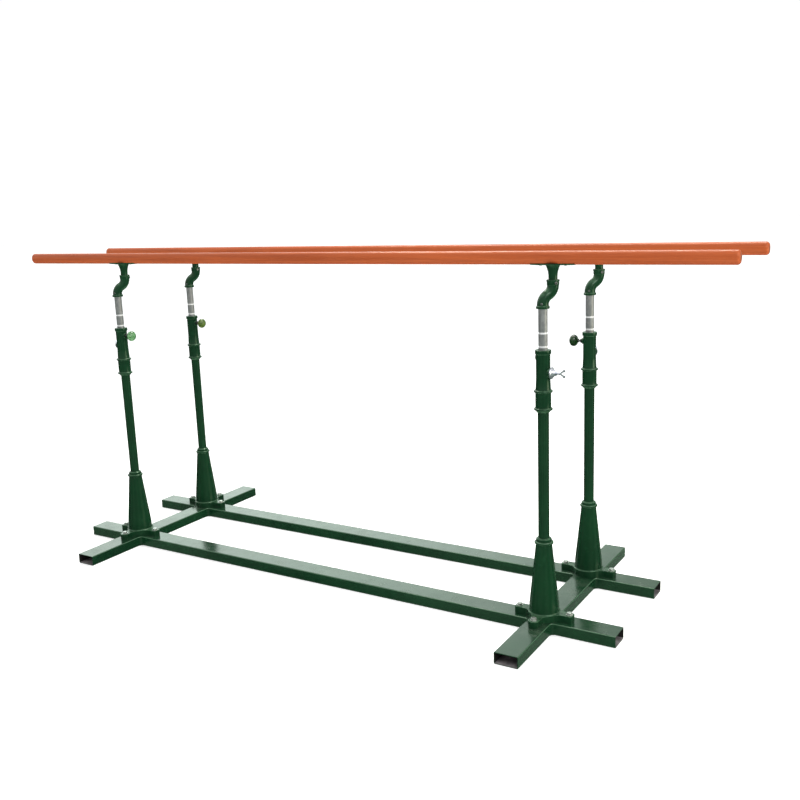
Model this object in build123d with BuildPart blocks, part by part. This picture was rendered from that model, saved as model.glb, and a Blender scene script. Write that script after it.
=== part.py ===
"""Parallel bars: two oval wooden rails on four height-adjustable masts, on one welded base.

Origin on the floor, under the middle of the two bars. +X runs along the bars, +Z is up.
All sizes are in millimetres and all directions in degrees from +X.
"""

import os
from dataclasses import dataclass
from math import atan2, cos, degrees, hypot, radians, sin

from build123d import *

# ---------------------------------------------------------------- driving dimensions
# Layout
COLUMN_SPACING_X = 2200.0
COLUMN_SPACING_Y = 490.0
CRANK_RADIUS = 40.0  # from the mast's axis to the saddle's axis
CRANK_DIRECTION = 46.0
BASE_X = -CRANK_RADIUS * cos(radians(CRANK_DIRECTION))  # base centre, behind the bars' middle
CRANK_X = -BASE_X
CRANK_Y = CRANK_RADIUS * sin(radians(CRANK_DIRECTION))

# Base tubes
RAIL_LENGTH = 2800.0
CROSS_LENGTH = 1200.0
BEAM_WIDTH = 96.0
BEAM_HEIGHT = 46.0
BEAM_WALL = 3.0
BEAM_CORNER = 4.0

# Pedestal casting
FLANGE_THICKNESS = 27.0
FLANGE_TOP = BEAM_HEIGHT + FLANGE_THICKNESS
FLANGE_RADIUS = 63.0
FLANGE_EDGE = 1.5
FLANGE_HOLLOW = 30.0  # radius of the hollows between the round body and the ears
EAR_HALF_WIDTH = 20.0  # of the two square ears along X
EAR_REACH = 119.0
EAR_CORNER = 10.0
ROUND_EAR_RADIUS = 22.0  # the third ear, on the outer side
BOLT_CIRCLE_RADIUS = 103.0
CONE_ROOT = 5.0  # the cone starts this far inside the flange
CONE_FOOT_RADIUS = 61.2
CONE_FLARE_MIDDLE = (58.7, 75.4)
CONE_FLARE_END = (57.6, 81.0)
CONE_LOW_RADIUS = 57.0
CONE_LOW_Z = 104.0
CONE_TOP_RADIUS = 30.5
CONE_TOP_Z = 351.0
CONE_WALL = 9.0
COLLAR_RADIUS = 36.5
COLLAR_BEAD = 6.0
COLLAR_LIP_RADIUS = 29.5
COLLAR_LIP_Z = 366.0
COLLAR_MOUTH_RADIUS = 23.7
COLLAR_TOP_Z = 371.0
SEAT_Z = 116.0  # the column tube stands here
SEAT_DEPTH = 22.0
SEAT_FLOOR = 12.0
DRAIN_RADIUS = 15.2
HOLLOW_TOP_Z = 281.0
HOLLOW_SHOULDER = 8.0
RECESS_RADIUS = 48.0
RECESS_TOP_RADIUS = 45.0

# Fasteners of the base
BOLT_RADIUS = 6.0
BOLT_HOLE_RADIUS = 6.6
BOLT_HEAD_ACROSS = 19.0
BOLT_HEAD_HEIGHT = 7.5
BOLT_CHAMFER = 1.0
BOLT_LENGTH = 47.0
WASHER_RADIUS = 13.0
WASHER_THICKNESS = 2.0
NUT_HEIGHT = 10.0

# Column tube
COLUMN_RADIUS = 21.2
COLUMN_WALL = 2.6
COLUMN_TOP_Z = 933.0
FIT = 0.1  # radial clearance of a fixed fit

# Head casting
HEAD_BOTTOM_Z = 860.0
LOWER_BEAD_Z = 872.0
UPPER_BEAD_Z = 939.0
HEAD_MOUTH_RADIUS = 24.2
HEAD_BEAD_RADIUS = 35.0
HEAD_BEAD = 4.5
SOCKET_RADIUS = 29.2
SOCKET_LOW_Z = 868.0
BARREL_LOW_RADIUS = 28.4
BARREL_LOW_Z = 943.0
BARREL_RADIUS = 26.3
BARREL_Z = 985.0
LIP_RADIUS = 29.8
LIP_LOW_Z = 1077.0
LIP_UNDERCUT = 3.0
LIP_CHAMFER = 2.0
HEAD_TOP_Z = 1093.0
HEAD_BORE_RADIUS = 17.3

# Guide bush
BUSH_RADIUS = 20.0
BUSH_BOTTOM_Z = 940.0
BUSH_TOP_Z = 1036.0

# Lift tube
LIFT_RADIUS = 16.85
LIFT_WALL = 3.2
LIFT_BOTTOM_Z = 648.0
SLIDING = 0.1  # radial clearance of a sliding or turning fit
TURN_GAP = 0.3  # between end faces that turn on each other
GROOVE_PITCH = 50.0
GROOVE_COUNT = 8
GROOVES_BELOW_LATCH = 5
GROOVE_WIDTH = 6.0
GROOVE_DEPTH = 1.2
TIP_GAP = 0.3

# Latch plunger
LATCH_Z = 1055.0
LATCH_BOSS_RADIUS = 13.0
LATCH_BOSS_REACH = 31.0
HOUSING_RADIUS = 9.0
HOUSING_INNER_RADIUS = 7.6
HOUSING_START = 22.0
HOUSING_END = 38.5
HOUSING_CAP = 2.5
PIN_RADIUS = 4.5
PIN_CHAMFER = 1.0
PIN_COLLAR_RADIUS = 7.2
PIN_COLLAR_LENGTH = 2.0
PIN_END = 66.0
KNOB_CENTRE = 68.0
KNOB_RADIUS = 24.0
KNOB_HALF_LENGTH = 18.0
KNOB_NECK_START = 46.5
KNOB_NECK_RADIUS = 7.5
KNOB_NECK_LENGTH = 5.0
KNOB_BACK_RADIUS = 14.0
KNOB_BACK_DEPTH = 12.0
SPRING_WIRE = 1.2
SPRING_TURNS = 4

# Clamp screw
CLAMP_Z = 1008.0
CLAMP_BOSS_RADIUS = 19.0
CLAMP_BOSS_REACH = 31.5
CLAMP_SCREW_RADIUS = 5.0
CUP_RADIUS = 22.2
CUP_RIM = 3.5
CUP_TOP = 50.0
CUP_NECK_RADIUS = 9.0
CUP_WALL = 2.5
CUP_BELL_RISE = 4.5
CUP_BELL_RADIUS = 15.5
CUP_NECK_HEIGHT = 2.0
CUP_GAP = 0.3
SCREW_COLLAR_RADIUS = 7.5
SCREW_COLLAR_END = 55.0
SCREW_COLLAR_CHAMFER = 1.0
SCREW_CHAMFER = 1.5
WING_HUB_START = 60.0
WING_HUB_CHAMFER = 2.0
WING_ROOT = 65.0
WING_TIP = 81.5
WING_SPREAD = 10.5
WING_LOBE_RADIUS = 4.6
WING_ARM_WIDTH = 5.0
WING_THICKNESS = 4.0

# Elbow casting
ELBOW_BOTTOM_Z = 1244.0
ELBOW_RIM_RADIUS = 25.0
ELBOW_RIM_HEIGHT = 12.0
ELBOW_PIPE_RADIUS = 21.5
ELBOW_STRAIGHT_Z = 1258.0
ELBOW_BEND_ANGLE = 60.0
ELBOW_TOP_Z = 1347.0
ELBOW_TOP_RADIUS = 22.5
ELBOW_TOP_HEIGHT = 21.0
ELBOW_SOCKET_DEPTH = 26.0
SPIGOT_RADIUS = 12.0
SPIGOT_LENGTH = 30.0
SPIGOT_ROOM = 1.0
OPEN_PIVOT_CLEARANCE = 0.5

# Set screws of the elbow: height, direction, radius and groove
LOWER_SCREW_Z = 1262.0
LOWER_SCREW_DIRECTION = -80.0
LOWER_SCREW_RADIUS = 3.0
UPPER_SCREW_Z = 1335.0
UPPER_SCREW_RADIUS = 4.0
SCREW_HEAD_EXTRA = 1.6
SCREW_HEAD_REACH = 3.0
SCREW_HEAD_CHAMFER = 1.0
SCREW_HEAD_GAP = 0.5
SCREW_GROOVE_EXTRA = 1.0
SCREW_GROOVE_DEPTH = 1.5

# Saddle
NECK_RADIUS = 16.3
NECK_TOP_Z = 1357.0
TRUMPET_MIDDLE = (19.6, 1381.0)
TRUMPET_RADIUS = 28.0
TRUMPET_TOP_Z = 1402.0
STRAP_LENGTH = 170.0
STRAP_WIDTH = 24.0
STRAP_THICKNESS = 2.4
STRAP_END_THICKNESS = 0.8
STRAP_END_TAPER = 30.0

# Bars
BAR_LENGTH = 3500.0
BAR_WIDTH = 41.0
BAR_HEIGHT = 50.0
BAR_CENTRE_Z = 1425.0
BAR_END_RADIUS = 12.0
CORE_RADIUS = 7.0
CORE_LENGTH = 3400.0

# Wood screws under the straps
WOOD_SCREW_OFFSET = 48.0
WOOD_SCREW_RADIUS = 2.5
WOOD_SCREW_LENGTH = 18.0
WOOD_SCREW_HEAD_RADIUS = 4.6
WOOD_SCREW_HEAD_HEIGHT = 1.4


# ---------------------------------------------------------------- masts
@dataclass
class Mast:
    """One mast: its place, the way its latch and clamp face, and how its elbow is held."""

    name: str
    side: int  # -1 left, +1 right
    row: int  # -1 front, +1 rear
    latch: float
    clamp: float
    upper_screw: float

    @property
    def x(self):
        return BASE_X + self.side * COLUMN_SPACING_X / 2

    @property
    def y(self):
        return self.row * COLUMN_SPACING_Y / 2

    @property
    def axis(self):
        return Axis((self.x, self.y, 0), (0, 0, 1))

    @property
    def ears(self):
        """Directions of the flange's ears: both ways along X, and away from the other row."""
        return (0, 180, 90 * self.row)

    @property
    def saddle_x(self):
        return self.x + CRANK_X

    @property
    def saddle_y(self):
        return self.y + CRANK_Y


MASTS = (
    Mast("front_left", side=-1, row=-1, latch=0, clamp=160, upper_screw=30),
    Mast("front_right", side=1, row=-1, latch=112, clamp=0, upper_screw=-40),
    Mast("rear_left", side=-1, row=1, latch=0, clamp=135, upper_screw=-20),
    Mast("rear_right", side=1, row=1, latch=180, clamp=90, upper_screw=-40),
)


# ---------------------------------------------------------------- helpers
def upright(x, y, direction=0.0, z=0.0):
    """A vertical plane: its X points in the given direction, its Y is up."""
    a = radians(direction)
    return Plane(origin=(x, y, z), x_dir=(cos(a), sin(a), 0), z_dir=(sin(a), -cos(a), 0))


def radial_axis(mast, direction, z):
    """The axis of a piece that points outwards from the mast."""
    a = radians(direction)
    return Axis((mast.x, mast.y, z), (cos(a), sin(a), 0))


def turned(plane, axis, points, mode=Mode.ADD):
    """Revolve a closed straight-sided outline, drawn on the plane, about the axis."""
    with BuildSketch(plane) as outline:
        with BuildLine():
            Polyline(*points, close=True)
        make_face()
    revolve(outline.sketch, axis=axis, mode=mode)


def turned_ring(plane, axis, radius, height, section_radius, mode=Mode.ADD):
    """Revolve a small circle into a bead, or a groove in Mode.SUBTRACT."""
    with BuildSketch(plane) as section:
        with Locations((radius, height)):
            Circle(section_radius)
    revolve(section.sketch, axis=axis, mode=mode)


def rod(mast, direction, z, start, end, radius, mode=Mode.ADD):
    """A round rod, or a round hole, that points outwards from the mast."""
    a = radians(direction)
    outward = Plane(
        origin=(mast.x + start * cos(a), mast.y + start * sin(a), z),
        x_dir=(0, 0, 1),
        z_dir=(cos(a), sin(a), 0),
    )
    with BuildSketch(outward) as section:
        Circle(radius)
    extrude(section.sketch, amount=end - start, mode=mode)


def save(piece, name):
    """Label a finished piece and write it to its own file."""
    piece.label = name
    export_step(piece, os.path.join("parts", f"{name}.step"))


# ---------------------------------------------------------------- base frame
def ear_points():
    """Bolt positions of all the flanges."""
    return [
        (
            mast.x + BOLT_CIRCLE_RADIUS * cos(radians(ear)),
            mast.y + BOLT_CIRCLE_RADIUS * sin(radians(ear)),
        )
        for mast in MASTS
        for ear in mast.ears
    ]


def base_tube(start, end):
    """A rectangular tube that lies on the floor, with bolt holes in its upper wall."""
    run = Vector(*end) - Vector(*start)
    section = Plane(
        origin=(start[0], start[1], BEAM_HEIGHT / 2),
        x_dir=run.cross(Vector(0, 0, 1)).normalized(),
        z_dir=run.normalized(),
    )
    with BuildPart() as tube:
        with BuildSketch(section):
            RectangleRounded(BEAM_WIDTH, BEAM_HEIGHT, BEAM_CORNER)
            RectangleRounded(
                BEAM_WIDTH - 2 * BEAM_WALL,
                BEAM_HEIGHT - 2 * BEAM_WALL,
                BEAM_CORNER - BEAM_WALL,
                mode=Mode.SUBTRACT,
            )
        extrude(amount=run.length)
        with BuildSketch(Plane.XY.offset(BEAM_HEIGHT - 2 * BEAM_WALL)):
            with Locations(*ear_points()):
                Circle(BOLT_HOLE_RADIUS)
        extrude(amount=3 * BEAM_WALL, mode=Mode.SUBTRACT)
    return tube.part


def make_base():
    half_x = COLUMN_SPACING_X / 2
    half_y = COLUMN_SPACING_Y / 2
    half_cross = CROSS_LENGTH / 2
    inner_x = half_x - BEAM_WIDTH / 2
    outer_x = half_x + BEAM_WIDTH / 2

    for name, side in (("left", -1), ("right", 1)):
        x = BASE_X + side * half_x
        save(base_tube((x, -half_cross), (x, half_cross)), f"cross_member_{name}")

    for name, row in (("front", -1), ("rear", 1)):
        y = row * half_y
        save(base_tube((BASE_X - inner_x, y), (BASE_X + inner_x, y)), f"rail_{name}")

    with BuildPart() as stubs:
        for side in (-1, 1):
            for row in (-1, 1):
                start = (BASE_X + side * outer_x, row * half_y)
                end = (BASE_X + side * RAIL_LENGTH / 2, row * half_y)
                add(base_tube(start, end))
    save(stubs.part, "rail_stubs")


# ---------------------------------------------------------------- fasteners of the base
def make_base_fasteners():
    washer_bottom = Plane.XY.offset(FLANGE_TOP)
    head_bottom = Plane.XY.offset(FLANGE_TOP + WASHER_THICKNESS)
    nut_bottom = Plane.XY.offset(BEAM_HEIGHT - BEAM_WALL - NUT_HEIGHT)

    with BuildPart() as bolts:
        with BuildSketch(head_bottom):
            with Locations(*ear_points()):
                RegularPolygon(BOLT_HEAD_ACROSS / 2, 6, major_radius=False)
        extrude(amount=BOLT_HEAD_HEIGHT)
        chamfer(bolts.edges().group_by(Axis.Z)[-1], length=BOLT_CHAMFER)
        with BuildSketch(head_bottom):
            with Locations(*ear_points()):
                Circle(BOLT_RADIUS)
        extrude(amount=-BOLT_LENGTH)
    save(bolts.part, "pedestal_bolts")

    with BuildPart() as washers:
        with BuildSketch(washer_bottom):
            with Locations(*ear_points()):
                Circle(WASHER_RADIUS)
                Circle(BOLT_RADIUS + FIT, mode=Mode.SUBTRACT)
        extrude(amount=WASHER_THICKNESS)
    save(washers.part, "pedestal_washers")

    with BuildPart() as nuts:
        with BuildSketch(nut_bottom):
            with Locations(*ear_points()):
                RegularPolygon(BOLT_HEAD_ACROSS / 2, 6, major_radius=False)
                Circle(BOLT_RADIUS + FIT, mode=Mode.SUBTRACT)
        extrude(amount=NUT_HEIGHT)
    save(nuts.part, "pedestal_nuts")


# ---------------------------------------------------------------- pedestal and column
def flange_section(mast):
    """A round body, two square ears along X and one round ear, with hollows between them."""
    with BuildSketch(Plane(origin=(mast.x, mast.y, BEAM_HEIGHT))) as section:
        Circle(FLANGE_RADIUS)
        RectangleRounded(2 * EAR_REACH, 2 * EAR_HALF_WIDTH, EAR_CORNER)
        with Locations((0, mast.row * BOLT_CIRCLE_RADIUS / 2)):
            Rectangle(2 * ROUND_EAR_RADIUS, BOLT_CIRCLE_RADIUS)
        with Locations((0, mast.row * BOLT_CIRCLE_RADIUS)):
            Circle(ROUND_EAR_RADIUS)
        notches = [
            corner
            for corner in section.vertices()
            if abs(hypot(corner.X, corner.Y) - FLANGE_RADIUS) < FIT
        ]
        fillet(notches, radius=FLANGE_HOLLOW)
    return section.sketch


def pedestal(mast):
    side = upright(mast.x, mast.y)
    root = FLANGE_TOP - CONE_ROOT
    slope = (CONE_LOW_RADIUS - CONE_TOP_RADIUS) / (CONE_TOP_Z - CONE_LOW_Z)
    seat_top = SEAT_Z + SEAT_DEPTH
    seat_bottom = SEAT_Z - SEAT_FLOOR
    tube_fit = COLUMN_RADIUS + FIT
    with BuildPart() as casting:
        extrude(flange_section(mast), amount=FLANGE_THICKNESS)
        fillet(casting.edges().group_by(Axis.Z)[-1], radius=FLANGE_EDGE)

        # outer cone with a flared foot
        with BuildSketch(side):
            with BuildLine():
                Line((0, root), (CONE_FOOT_RADIUS, root))
                Line((CONE_FOOT_RADIUS, root), (CONE_FOOT_RADIUS, FLANGE_TOP))
                ThreePointArc((CONE_FOOT_RADIUS, FLANGE_TOP), CONE_FLARE_MIDDLE, CONE_FLARE_END)
                Polyline(
                    CONE_FLARE_END,
                    (CONE_LOW_RADIUS, CONE_LOW_Z),
                    (CONE_TOP_RADIUS, CONE_TOP_Z),
                    (COLLAR_LIP_RADIUS, COLLAR_LIP_Z),
                    (COLLAR_MOUTH_RADIUS, COLLAR_TOP_Z),
                    (0, COLLAR_TOP_Z),
                    (0, root),
                )
            make_face()
        revolve(axis=mast.axis)
        turned_ring(side, mast.axis, COLLAR_RADIUS - COLLAR_BEAD, CONE_TOP_Z, COLLAR_BEAD)

        # the cored inside: a socket for the tube's foot, the hollow cone, and the upper guide
        turned(
            side,
            mast.axis,
            (
                (0, SEAT_Z),
                (tube_fit, SEAT_Z),
                (tube_fit, seat_top),
                (CONE_LOW_RADIUS - slope * (seat_top - CONE_LOW_Z) - CONE_WALL, seat_top),
                (CONE_LOW_RADIUS - slope * (HOLLOW_TOP_Z - CONE_LOW_Z) - CONE_WALL, HOLLOW_TOP_Z),
                (tube_fit, HOLLOW_TOP_Z + HOLLOW_SHOULDER),
                (tube_fit, COLLAR_TOP_Z),
                (0, COLLAR_TOP_Z),
            ),
            mode=Mode.SUBTRACT,
        )
        # drain hole and the recess under the foot
        turned(
            side,
            mast.axis,
            (
                (0, BEAM_HEIGHT),
                (RECESS_RADIUS, BEAM_HEIGHT),
                (RECESS_TOP_RADIUS, seat_bottom),
                (DRAIN_RADIUS, seat_bottom),
                (DRAIN_RADIUS, SEAT_Z),
                (0, SEAT_Z),
            ),
            mode=Mode.SUBTRACT,
        )
        with BuildSketch(Plane.XY.offset(BEAM_HEIGHT)):
            with Locations(*ear_points()):
                Circle(BOLT_HOLE_RADIUS)
        extrude(amount=FLANGE_THICKNESS, mode=Mode.SUBTRACT)
    return casting.part


def column(mast):
    with BuildPart() as tube:
        with BuildSketch(Plane(origin=(mast.x, mast.y, SEAT_Z))):
            Circle(COLUMN_RADIUS)
            Circle(COLUMN_RADIUS - COLUMN_WALL, mode=Mode.SUBTRACT)
        extrude(amount=COLUMN_TOP_Z - SEAT_Z)
    return tube.part


# ---------------------------------------------------------------- head
def head(mast):
    side = upright(mast.x, mast.y)
    with BuildPart() as casting:
        turned(
            side,
            mast.axis,
            (
                (0, HEAD_BOTTOM_Z),
                (HEAD_MOUTH_RADIUS, HEAD_BOTTOM_Z),
                (SOCKET_RADIUS, SOCKET_LOW_Z),
                (SOCKET_RADIUS, UPPER_BEAD_Z),
                (BARREL_LOW_RADIUS, BARREL_LOW_Z),
                (BARREL_RADIUS, BARREL_Z),
                (BARREL_RADIUS, LIP_LOW_Z),
                (LIP_RADIUS, LIP_LOW_Z + LIP_UNDERCUT),
                (LIP_RADIUS, HEAD_TOP_Z - LIP_CHAMFER),
                (LIP_RADIUS - LIP_CHAMFER, HEAD_TOP_Z),
                (0, HEAD_TOP_Z),
            ),
        )
        for bead_z in (LOWER_BEAD_Z, UPPER_BEAD_Z):
            turned_ring(side, mast.axis, HEAD_BEAD_RADIUS - HEAD_BEAD, bead_z, HEAD_BEAD)
        rod(mast, mast.latch, LATCH_Z, 0, LATCH_BOSS_REACH, LATCH_BOSS_RADIUS)
        rod(mast, mast.clamp, CLAMP_Z, 0, CLAMP_BOSS_REACH, CLAMP_BOSS_RADIUS)

        # stepped bore: the column's socket, the bush's seat, the upper guide
        turned(
            side,
            mast.axis,
            (
                (0, HEAD_BOTTOM_Z),
                (COLUMN_RADIUS + FIT, HEAD_BOTTOM_Z),
                (COLUMN_RADIUS + FIT, COLUMN_TOP_Z),
                (BUSH_RADIUS + FIT / 2, COLUMN_TOP_Z),
                (BUSH_RADIUS + FIT / 2, BUSH_TOP_Z),
                (HEAD_BORE_RADIUS, BUSH_TOP_Z),
                (HEAD_BORE_RADIUS, HEAD_TOP_Z),
                (0, HEAD_TOP_Z),
            ),
            mode=Mode.SUBTRACT,
        )
        rod(mast, mast.latch, LATCH_Z, 0, HOUSING_START, PIN_RADIUS + SLIDING, Mode.SUBTRACT)
        rod(
            mast, mast.latch, LATCH_Z, HOUSING_START, HOUSING_END,
            HOUSING_RADIUS + FIT / 2, Mode.SUBTRACT,
        )
        rod(
            mast, mast.clamp, CLAMP_Z, 0, HOUSING_END,
            CLAMP_SCREW_RADIUS + SLIDING, Mode.SUBTRACT,
        )
    return casting.part


def make_bushes():
    with BuildPart() as bushes:
        for mast in MASTS:
            with BuildSketch(Plane(origin=(mast.x, mast.y, BUSH_BOTTOM_Z))):
                Circle(BUSH_RADIUS)
                Circle(LIFT_RADIUS + SLIDING, mode=Mode.SUBTRACT)
            extrude(amount=BUSH_TOP_Z - BUSH_BOTTOM_Z)
            rod(
                mast, mast.clamp, CLAMP_Z, 0, BARREL_RADIUS,
                CLAMP_SCREW_RADIUS + SLIDING, Mode.SUBTRACT,
            )
    save(bushes.part, "guide_bushes")


# ---------------------------------------------------------------- lift tube
def lift_tube(mast):
    side = upright(mast.x, mast.y)
    tube_top = ELBOW_BOTTOM_Z + ELBOW_SOCKET_DEPTH - TURN_GAP
    lowest_groove = LATCH_Z - GROOVES_BELOW_LATCH * GROOVE_PITCH
    with BuildPart() as tube:
        with BuildSketch(Plane(origin=(mast.x, mast.y, LIFT_BOTTOM_Z))):
            Circle(LIFT_RADIUS)
            Circle(LIFT_RADIUS - LIFT_WALL, mode=Mode.SUBTRACT)
        extrude(amount=tube_top - LIFT_BOTTOM_Z)
        for index in range(GROOVE_COUNT):
            groove(side, mast.axis, lowest_groove + index * GROOVE_PITCH, GROOVE_WIDTH,
                   LIFT_RADIUS, GROOVE_DEPTH)
        groove(side, mast.axis, LOWER_SCREW_Z, 2 * LOWER_SCREW_RADIUS + SCREW_GROOVE_EXTRA,
               LIFT_RADIUS, SCREW_GROOVE_DEPTH)
    return tube.part


def groove(plane, axis, z, width, radius, depth):
    """Cut a square groove around a round piece."""
    with BuildSketch(plane) as section:
        with Locations((radius, z)):
            Rectangle(2 * depth, width)
    revolve(section.sketch, axis=axis, mode=Mode.SUBTRACT)


# ---------------------------------------------------------------- latch plunger
def plunger(mast):
    """Latch pin and pull knob: two solids that move together."""
    side = upright(mast.x, mast.y, mast.latch, LATCH_Z)
    axis = radial_axis(mast, mast.latch, LATCH_Z)
    tip = LIFT_RADIUS + TIP_GAP
    collar_start = HOUSING_START + 2 * TIP_GAP
    collar_end = collar_start + PIN_COLLAR_LENGTH
    with BuildPart() as pin:
        turned(
            side,
            axis,
            (
                (tip, 0),
                (tip, PIN_RADIUS - PIN_CHAMFER),
                (tip + PIN_CHAMFER, PIN_RADIUS),
                (collar_start, PIN_RADIUS),
                (collar_start, PIN_COLLAR_RADIUS),
                (collar_end, PIN_COLLAR_RADIUS),
                (collar_end, PIN_RADIUS),
                (PIN_END, PIN_RADIUS),
                (PIN_END, 0),
            ),
        )
    with BuildPart() as knob:
        with BuildSketch(side):
            with Locations((KNOB_CENTRE, 0)):
                Ellipse(KNOB_HALF_LENGTH, KNOB_RADIUS)
            with Locations((KNOB_CENTRE, -KNOB_RADIUS)):
                Rectangle(2 * KNOB_RADIUS, 2 * KNOB_RADIUS, mode=Mode.SUBTRACT)
        revolve(axis=axis)
        turned(
            side,
            axis,
            (
                (KNOB_NECK_START, 0),
                (KNOB_NECK_START, KNOB_NECK_RADIUS),
                (KNOB_NECK_START + KNOB_NECK_LENGTH, KNOB_NECK_RADIUS),
                (KNOB_CENTRE - KNOB_BACK_DEPTH, KNOB_BACK_RADIUS),
                (KNOB_CENTRE, 0),
            ),
        )
        rod(mast, mast.latch, LATCH_Z, 0, PIN_END + TIP_GAP, PIN_RADIUS + FIT / 2, Mode.SUBTRACT)
    with BuildPart() as pair:
        add(pin.part)
        add(knob.part)
    return pair.part


def make_housings():
    with BuildPart() as housings:
        for mast in MASTS:
            turned(
                upright(mast.x, mast.y, mast.latch, LATCH_Z),
                radial_axis(mast, mast.latch, LATCH_Z),
                (
                    (HOUSING_START, HOUSING_INNER_RADIUS),
                    (HOUSING_START, HOUSING_RADIUS),
                    (HOUSING_END - PIN_CHAMFER, HOUSING_RADIUS),
                    (HOUSING_END, HOUSING_RADIUS - PIN_CHAMFER),
                    (HOUSING_END, PIN_RADIUS + SLIDING),
                    (HOUSING_END - HOUSING_CAP, PIN_RADIUS + SLIDING),
                    (HOUSING_END - HOUSING_CAP, HOUSING_INNER_RADIUS),
                ),
            )
    save(housings.part, "plunger_housings")


def plunger_spring(mast):
    """Round-wire compression spring between the pin's collar and the housing's cap."""
    start = HOUSING_START + 3 * TIP_GAP + PIN_COLLAR_LENGTH + SPRING_WIRE / 2
    end = HOUSING_END - HOUSING_CAP - TIP_GAP - SPRING_WIRE / 2
    mean_radius = (PIN_RADIUS + HOUSING_INNER_RADIUS) / 2
    a = radians(mast.latch)
    centre = (mast.x + start * cos(a), mast.y + start * sin(a), LATCH_Z)
    length = end - start
    with BuildPart() as spring:
        with BuildLine():
            wire = Helix(
                pitch=length / SPRING_TURNS,
                height=length,
                radius=mean_radius,
                center=centre,
                direction=(cos(a), sin(a), 0),
            )
        with BuildSketch(Plane(origin=wire @ 0, z_dir=wire % 0)):
            Circle(SPRING_WIRE / 2)
        sweep()
    return spring.part


# ---------------------------------------------------------------- clamp
def clamp_screw(mast):
    """Screw, collar and wing in one piece; the wing stands upright."""
    side = upright(mast.x, mast.y, mast.clamp, CLAMP_Z)
    tip = LIFT_RADIUS + TIP_GAP
    with BuildPart() as screw:
        turned(
            side,
            radial_axis(mast, mast.clamp, CLAMP_Z),
            (
                (tip, 0),
                (tip, CLAMP_SCREW_RADIUS - SCREW_CHAMFER),
                (tip + SCREW_CHAMFER, CLAMP_SCREW_RADIUS),
                (CUP_TOP + CUP_GAP, CLAMP_SCREW_RADIUS),
                (CUP_TOP + CUP_GAP, SCREW_COLLAR_RADIUS),
                (SCREW_COLLAR_END - SCREW_COLLAR_CHAMFER, SCREW_COLLAR_RADIUS),
                (SCREW_COLLAR_END, CLAMP_SCREW_RADIUS - SCREW_CHAMFER),
                (WING_HUB_START, CLAMP_SCREW_RADIUS - SCREW_CHAMFER),
                (WING_HUB_START + WING_HUB_CHAMFER, CLAMP_SCREW_RADIUS),
                (WING_ROOT + WING_HUB_CHAMFER, CLAMP_SCREW_RADIUS),
                (WING_ROOT + 2 * WING_HUB_CHAMFER, 0),
            ),
        )
        arm_length = hypot(WING_TIP - WING_ROOT, WING_SPREAD)
        arm_angle = degrees(atan2(WING_SPREAD, WING_TIP - WING_ROOT))
        with BuildSketch(side):
            for way in (-1, 1):
                with Locations(((WING_ROOT + WING_TIP) / 2, way * WING_SPREAD / 2)):
                    SlotCenterToCenter(arm_length, WING_ARM_WIDTH, rotation=way * arm_angle)
                with Locations((WING_TIP, way * WING_SPREAD)):
                    Circle(WING_LOBE_RADIUS)
        extrude(amount=WING_THICKNESS / 2, both=True)
    return screw.part


def make_clamp_cups():
    """Bell-shaped cups between the clamp bosses and the screws' collars."""
    rim = CLAMP_BOSS_REACH
    shoulder = rim + CUP_RIM
    bore = CLAMP_SCREW_RADIUS + SLIDING
    with BuildPart() as cups:
        for mast in MASTS:
            with BuildSketch(upright(mast.x, mast.y, mast.clamp, CLAMP_Z)) as bell:
                with BuildLine():
                    Line((rim, CUP_RADIUS), (shoulder, CUP_RADIUS))
                    ThreePointArc(
                        (shoulder, CUP_RADIUS),
                        (shoulder + CUP_BELL_RISE, CUP_BELL_RADIUS),
                        (CUP_TOP - CUP_NECK_HEIGHT, CUP_NECK_RADIUS),
                    )
                    Polyline(
                        (CUP_TOP - CUP_NECK_HEIGHT, CUP_NECK_RADIUS),
                        (CUP_TOP, CUP_NECK_RADIUS),
                        (CUP_TOP, bore),
                        (CUP_TOP - 2 * CUP_WALL, bore),
                        (shoulder + CUP_WALL, CUP_RADIUS - 3 * CUP_WALL),
                        (shoulder, CUP_RADIUS - CUP_WALL),
                        (rim, CUP_RADIUS - CUP_WALL),
                        (rim, CUP_RADIUS),
                    )
                make_face()
            revolve(bell.sketch, axis=radial_axis(mast, mast.clamp, CLAMP_Z))
    save(cups.part, "clamp_cups")


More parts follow.
